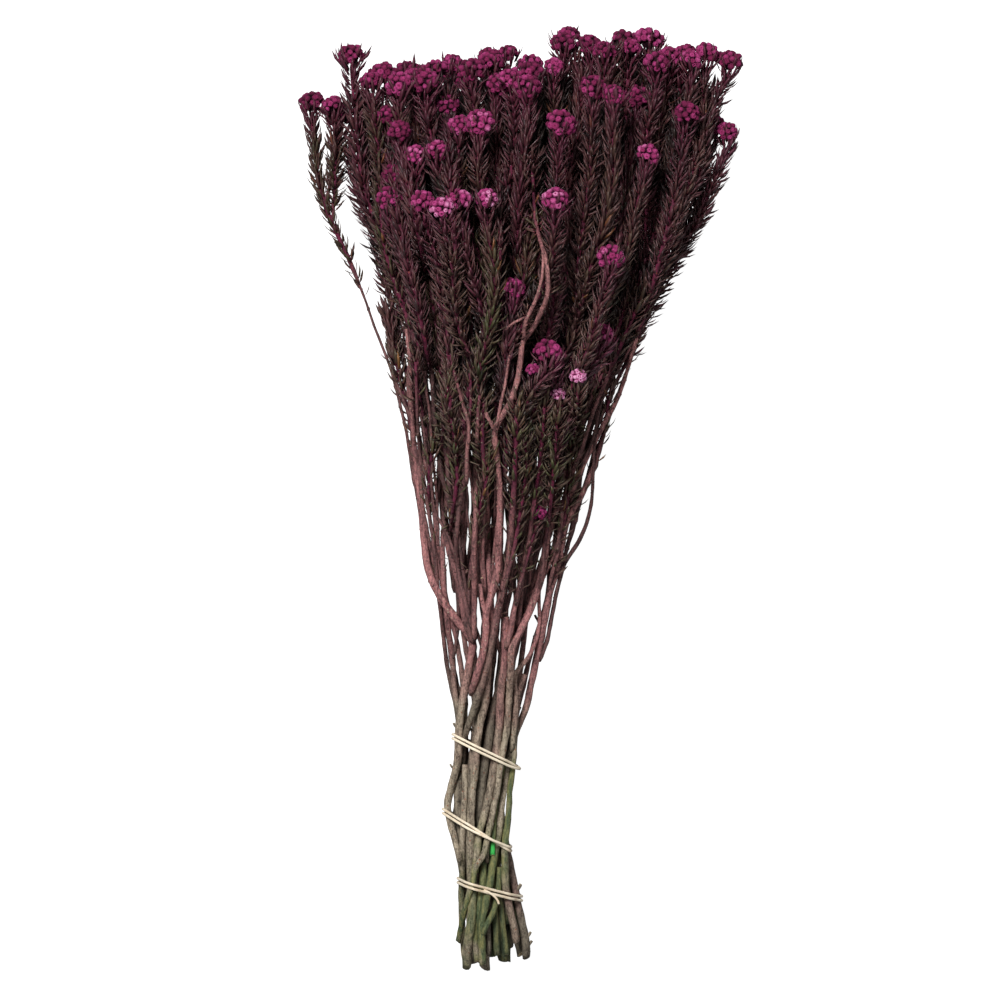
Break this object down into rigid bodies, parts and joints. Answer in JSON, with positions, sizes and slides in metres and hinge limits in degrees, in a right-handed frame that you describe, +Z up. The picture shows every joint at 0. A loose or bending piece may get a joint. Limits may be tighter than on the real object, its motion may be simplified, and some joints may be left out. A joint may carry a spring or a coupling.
{
  "type": "tied bunch of preserved phylica",
  "caption": "Tied bunch of dried and dyed phylica lying on its side: forked woody stems, leafy shoots and woolly dome-shaped flower heads, held by rubber bands.",
  "frame": {"origin": "middle of the footprint of the lying bunch, on the surface it lies on", "axes": "+Y along the stems from the cut ends to the flower heads, +X across the bunch, +Z up from the surface"},
  "size_m": [0.244, 0.5216, 0.1306],
  "materials": {
    "bark": "dry bark, matt, with leaf scars and a mauve dye tint",
    "leaf": "small dyed leathery leaves, satin",
    "flower": "woolly, dyed magenta pink to dark plum",
    "rubber": "plain cream elastic"
  },
  "bodies": {
    "root": {"flower_heads_01_1": "flower", "flower_heads_02_1": "flower", "flower_heads_02_2": "flower", "flower_heads_02_3": "flower", "flower_heads_03_1": "flower", "flower_heads_04_1": "flower", "flower_heads_05_1": "flower", "flower_heads_06_1": "flower", "flower_heads_07_1": "flower", "flower_heads_08_1": "flower", "flower_heads_09_1": "flower", "flower_heads_10_1": "flower", "flower_heads_10_2": "flower", "flower_heads_10_3": "flower", "flower_heads_11_1": "flower", "flower_heads_11_2": "flower", "flower_heads_11_3": "flower", "flower_heads_12_1": "flower", "flower_heads_12_2": "flower", "flower_heads_13_1": "flower", "flower_heads_13_2": "flower", "flower_heads_13_3": "flower", "flower_heads_13_4": "flower", "flower_heads_13_5": "flower", "flower_heads_14_1": "flower", "flower_heads_15_1": "flower", "flower_heads_15_2": "flower", "leafy_shoots_01": "leaf", "leafy_shoots_02": "leaf", "leafy_shoots_03": "leaf", "leafy_shoots_04": "leaf", "leafy_shoots_05": "leaf", "leafy_shoots_06": "leaf", "leafy_shoots_07": "leaf", "leafy_shoots_08": "leaf", "leafy_shoots_09": "leaf", "leafy_shoots_10": "leaf", "leafy_shoots_11": "leaf", "leafy_shoots_12": "leaf", "leafy_shoots_13": "leaf", "leafy_shoots_14": "leaf", "leafy_shoots_15": "leaf", "rubber_band_lower": "rubber", "rubber_band_middle": "rubber", "rubber_band_upper": "rubber", "stem_01": "bark", "stem_02": "bark", "stem_03": "bark", "stem_04": "bark", "stem_05": "bark", "stem_06": "bark", "stem_07": "bark", "stem_08": "bark", "stem_09": "bark", "stem_10": "bark", "stem_11": "bark", "stem_12": "bark", "stem_13": "bark", "stem_14": "bark", "stem_15": "bark"}
  },
  "joints": []
}
